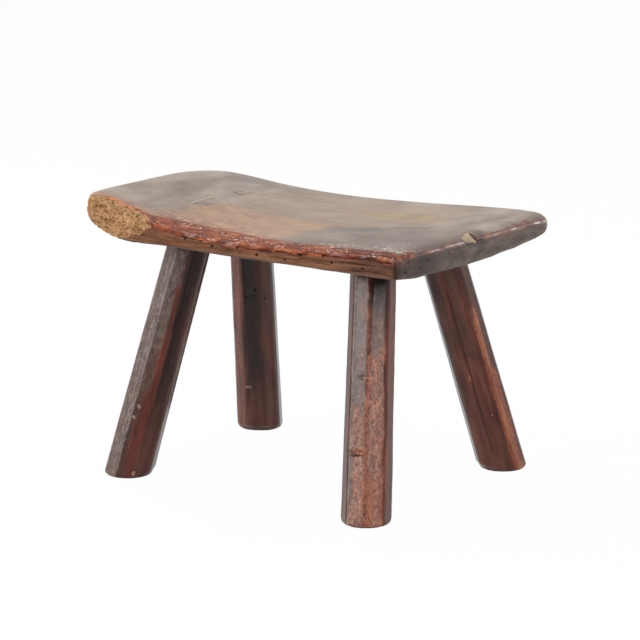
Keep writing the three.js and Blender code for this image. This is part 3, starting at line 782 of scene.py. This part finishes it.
# Patterns of a leg in mm: its grain runs along its own z
polePatterns = {
    "fibre": ((1.3, 1.3, 24), 5, 0.6), "cloud": ((11, 11, 44), 4, 0.55), "blend": ((5, 5, 40), 4, 0.6),
    "mottle": ((3.6, 3.6, 6.5), 5, 0.7), "spot": ((1.5, 1.5, 2.0), 3, 0.65),
}
poleRough = 0.2
poleTones = [(0.34, "#1b0b07"), (0.5, "#2f1711"), (0.66, "#43241b")]
poleCoats = [
    ("brown", "cloud", 1.2, 0.1, 0.9, 0.9, "blend",
     [(0.3, "#452016"), (0.5, "#5c3226"), (0.7, "#704134")], 0.24),
    # grey bloom of the old varnish, partly painted sheen and painted highlights where the lamps would catch
    # the facets
    ("bloomAndSheen", "spot", 1.5, 0.25, 1.1, 0.8, "mottle",
     [(0.36, "#503c35"), (0.5, "#6c5850"), (0.66, "#88756b")], 0.28),
    ("red", "mottle", 1.5, 0.25, 0.9, 0.9, "blend",
     [(0.3, "#340c07"), (0.5, "#51190f"), (0.7, "#6a2a1b")], 0.24),
    ("crackle", "mottle", 2.6, 0.3, 1.3, 0.8, "spot",
     [(0.36, "#8a462e"), (0.5, "#b37357"), (0.66, "#cd9c84")], 0.36),
    ("orange", "spot", 2.6, 0.35, 1.0, 0.85, "blend",
     [(0.34, "#6b2c12"), (0.5, "#944c29"), (0.66, "#b27040")], 0.4),
    # pale scuffs, and a painted highlight line along the front right's left arris
    ("scuffAndHighlight", "spot", 1.0, 0.4, 0.8, 0.7, "mottle", [(0.36, "#6d6055"), (0.64, "#968979")], 0.5),
    ("tan", "spot", 1.4, 0.35, 0.8, 0.85, "spot", [(0.36, "#7d5a3a"), (0.64, "#c09a6c")], 0.6),
    # near black: dark wood, and painted shade under the seat, on facets turned from the lamps and in a
    # knock's crease
    ("darkAndShade", "mottle", 0.8, 0.25, 0.85, 0.85, "fibre", [(0.34, "#0f0807"), (0.66, "#24140f")], 0.28),
]
endCoats = [
    # a faint grey ring at the joint, and painted shade on the front left tenon's near half
    ("jointAndShade", "mottle", 1.2, 0.25, 0.85, 0.6, "spot", [(0.36, "#5b5551"), (0.64, "#766e68")], 0.45),
    ("sole", "spot", 0.6, 0.3, 0.8, 1.0, "spot", [(0.36, "#1c120d"), (0.64, "#35251b")], 0.85),
    ("hole", "spot", 0.0, 0.3, 0.6, 1.0, "spot", [(0.3, "#0c0705"), (0.7, "#150d0a")], 0.9),
]


# Hewn hardwood under old spirit varnish: near black and glossy, rubbed to red and then to
# orange wood along the arrises, with the fine pits and scuffs of an old finish, and with
# painted sheen and highlight lines on facets facing the lamps and painted shade on others.
def legMaterial():
    material, tree, shader = newMaterial("darkVarnishedHardwood")
    own = addNode(tree, "Attribute", attribute_name="own").outputs["Vector"]
    names = legMarks + filmMarks
    marks = {name: addNode(tree, "Attribute", attribute_name=name).outputs["Fac"] for name in names}
    patterns = makePatterns(tree, own, polePatterns)
    mixed = addNode(tree, "Mix", {0: 0.75, 2: patterns["fibre"], 3: patterns["cloud"]}).outputs[0]
    stain = addNode(tree, "ValToRGB", {0: mixed}, stops=poleTones).outputs[0]
    colour, rough = layCoats(tree, poleCoats, marks, patterns, stain, poleRough)
    topPatterns, topTone = wornTop(tree)
    filmed, filmRough = layCoats(tree, filmCoats, marks, topPatterns, topTone, waxRough)
    colour = addNode(tree, "Mix", {0: marks["end"], 6: colour, 7: filmed}, data_type="RGBA").outputs[2]
    rough = addNode(tree, "Mix", {0: marks["end"], 2: rough, 3: filmRough}).outputs[0]
    colour, rough = layCoats(tree, endCoats, marks, patterns, colour, rough)
    tree.links.new(colour, shader.inputs["Base Color"])
    tree.links.new(rough, shader.inputs["Roughness"])
    shader.inputs["IOR"].default_value = 1.5
    shader.inputs["Specular IOR Level"].default_value = 0.26
    fine = addNode(tree, "Mix", {0: 0.65, 2: patterns["fibre"], 3: patterns["spot"]}).outputs[0]
    bump = addNode(tree, "Bump", {"Height": fine, "Strength": 0.22, "Distance": 0.0005})
    crazed = addNode(tree, "Bump", {"Height": patterns["mottle"], "Strength": marks["crackle"],
                                    "Distance": 0.0008, "Normal": bump.outputs[0]})
    tree.links.new(crazed.outputs[0], shader.inputs["Normal"])
    return material


# Wedges
wedgeSizes = {"voxel": 0.45, "smoothing": 1, "swell": 1.6}


def makeWedge(name, material):
    form = fineCopy("wedge_" + name, name + "Wedge", wedgeSizes["voxel"], wedgeSizes["smoothing"])
    marks = {key: [] for key in filmMarks}
    swell = wedgeSizes["swell"]
    for vert in form.verts:
        top = ease(vert.normal.z, 0.5, 0.9)
        dip = wornDip(vert.co / mm) * top
        for key, share in filmShares(vert.co / mm, top).items():
            marks[key].append(share)
        vert.co += Vector((vert.normal.x * swell, vert.normal.y * swell, -dip)) * mm
    finishPiece(form, name + "Wedge", marks, None, material, "wedge_" + name)


# Riven hardwood slip, rubbed flush and waxed over with the seat.
def wedgeMaterial():
    material, tree, shader = newMaterial("rivenHardwoodWedge")
    patterns, tone = wornTop(tree)
    marks = {name: addNode(tree, "Attribute", attribute_name=name).outputs["Fac"] for name in filmMarks}
    colour, rough = layCoats(tree, filmCoats, marks, patterns, tone, waxRough)
    tree.links.new(colour, shader.inputs["Base Color"])
    tree.links.new(rough, shader.inputs["Roughness"])
    shader.inputs["IOR"].default_value = 1.48
    shader.inputs["Specular IOR Level"].default_value = 0.32
    bump = addNode(tree, "Bump", {"Height": patterns["spot"], "Strength": 0.4, "Distance": 0.0004})
    tree.links.new(bump.outputs[0], shader.inputs["Normal"])
    return material


# Floor, world and lamps
studio = {
    "floorSize": 40.0, "floorTone": "#e6e6e6", "floorShown": 0.965, "ambient": 0.36,
    # way in degrees right of the camera's, height in degrees, distance, width, tallness, watts
    "lamps": {
        "key": (-54, 20, 2.0, 1.2, 0.6, 18), "fill": (30, 23, 2.0, 1.0, 0.6, 13),
        "left": (-124, 27, 2.0, 0.8, 0.6, 18), "strip": (-98, 18, 2.0, 0.12, 1.0, 10),
        "right": (120, 12, 2.0, 0.8, 0.5, 8), "top": (180, 70, 2.2, 1.4, 1.4, 16),
    },
}


def seenBackground(tree):
    # 1 for what the camera sees itself, in gloss or through glass, and 0 for the light it gives
    ray = addNode(tree, "LightPath").outputs
    seen = ray["Is Camera Ray"]
    for way in ("Is Glossy Ray", "Is Transmission Ray"):
        seen = addNode(tree, "Math", {0: seen, 1: ray[way]}, operation="MAXIMUM").outputs[0]
    return seen


def makeFloor():
    material, tree, shader = newMaterial("studioPaper")
    shader.inputs["Base Color"].default_value = hexColour(studio["floorTone"])
    shader.inputs["Roughness"].default_value = 0.9
    share = addNode(tree, "Math", {0: seenBackground(tree), 1: studio["floorShown"]}, operation="MULTIPLY")
    glow = addNode(tree, "Emission", {"Color": (1, 1, 1, 1), "Strength": 1.0}).outputs[0]
    mixed = addNode(tree, "MixShader", {0: share.outputs[0], 1: shader.outputs[0], 2: glow}).outputs[0]
    tree.links.new(mixed, tree.nodes["Material Output"].inputs["Surface"])
    form = bmesh.new()
    bmesh.ops.create_grid(form, x_segments=1, y_segments=1, size=studio["floorSize"] / 2)
    mesh = bpy.data.meshes.new("floor")
    form.to_mesh(mesh)
    form.free()
    mesh.materials.append(material)
    floor = bpy.data.objects.new("floor", mesh)
    scene.collection.objects.link(floor)


def makeLight():
    world = bpy.data.worlds.new("studioWorld")
    scene.world = world
    world.use_nodes = True
    tree = world.node_tree
    strength = addNode(tree, "MapRange", {0: seenBackground(tree), 3: studio["ambient"], 4: 1.0})
    background = tree.nodes["Background"]
    background.inputs["Color"].default_value = (1, 1, 1, 1)
    tree.links.new(strength.outputs[0], background.inputs["Strength"])
    for name, (way, height, distance, wide, tall, watts) in studio["lamps"].items():
        toward = awayFromCamera(way, height)
        data = bpy.data.lights.new(name, "AREA")
        data.shape = "RECTANGLE"
        data.size = wide
        data.size_y = tall
        data.energy = watts
        lamp = bpy.data.objects.new(name, data)
        scene.collection.objects.link(lamp)
        lamp.location = Vector(cameraView["target"]) + toward * distance
        lamp.rotation_euler = toward.to_track_quat("Z", "Y").to_euler()


makeCamera()
makeFloor()
makeLight()
print("studio ready")
makeSeat(seatMaterial())
legWood = legMaterial()
wedgeWood = wedgeMaterial()
for legName in legPlans:
    makeLeg(legName, legWood)
    makeWedge(legName, wedgeWood)
scene.view_settings.view_transform = "Standard"
